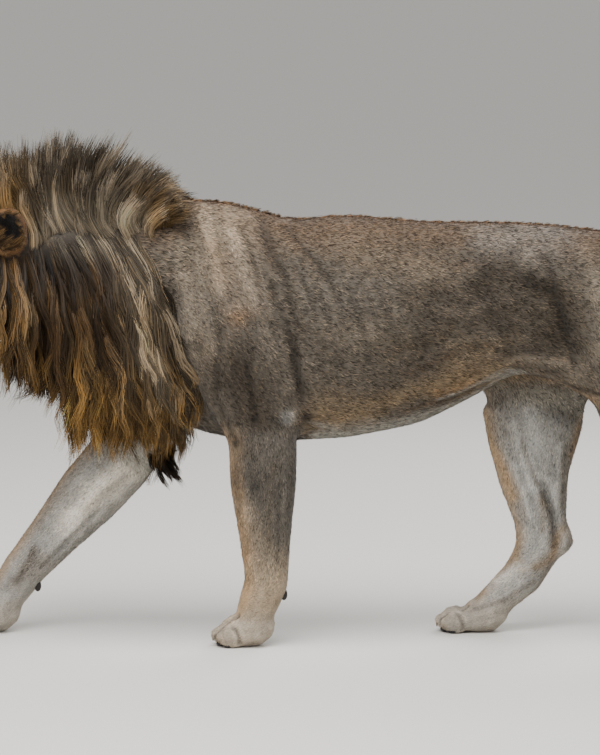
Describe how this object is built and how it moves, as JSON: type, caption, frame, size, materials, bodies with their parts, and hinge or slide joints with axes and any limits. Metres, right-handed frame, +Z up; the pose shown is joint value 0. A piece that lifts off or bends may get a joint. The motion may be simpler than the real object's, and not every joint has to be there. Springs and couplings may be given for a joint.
{
  "type": "life-size male lion, walking",
  "caption": "Life-size still model of an adult male lion in a walking step, with a full mane, standing on its own paws.",
  "frame": {"origin": "on the floor, under the middle of the lion's outline", "axes": "+Z up, -Y the way the lion faces, +X its left side"},
  "size_m": [0.476, 2.3024, 1.2653],
  "materials": {
    "coat": "short speckled grey-brown fur that lies flat, darker on the back and thigh",
    "pale_coat": "short pale tan fur of the lower legs and paws",
    "mane": "long wavy dark brown hair with golden tips and a grey-brown standing crest",
    "eye": "amber iris with a round pupil under a clear wet surface",
    "bare_skin": "pebbled dark skin of the nose, lips and paw pads",
    "claw": "smooth horn, darker towards the tip",
    "whisker": "stiff white hairs"
  },
  "bodies": {
    "root": {"ear_left": "coat", "ear_right": "coat", "eye_left": "eye", "eye_right": "eye", "forearm_left": "coat", "forearm_right": "coat", "forepaw_left": "pale_coat", "forepaw_right": "pale_coat", "head": "coat", "hindpaw_left": "pale_coat", "hindpaw_right": "pale_coat", "instep_left": "pale_coat", "instep_right": "pale_coat", "jaw": "coat", "mane_chest": "mane", "mane_crest": "mane", "mane_ruff_left": "mane", "mane_ruff_right": "mane", "mane_side_left": "mane", "mane_side_right": "mane", "neck": "coat", "nose": "bare_skin", "shank_left": "coat", "shank_right": "coat", "tail_base": "coat", "tail_end": "coat", "tail_middle": "coat", "tail_tuft": "mane", "thigh_left": "coat", "thigh_right": "coat", "trunk": "coat", "upper_foreleg_left": "coat", "upper_foreleg_right": "coat"}
  },
  "joints": []
}
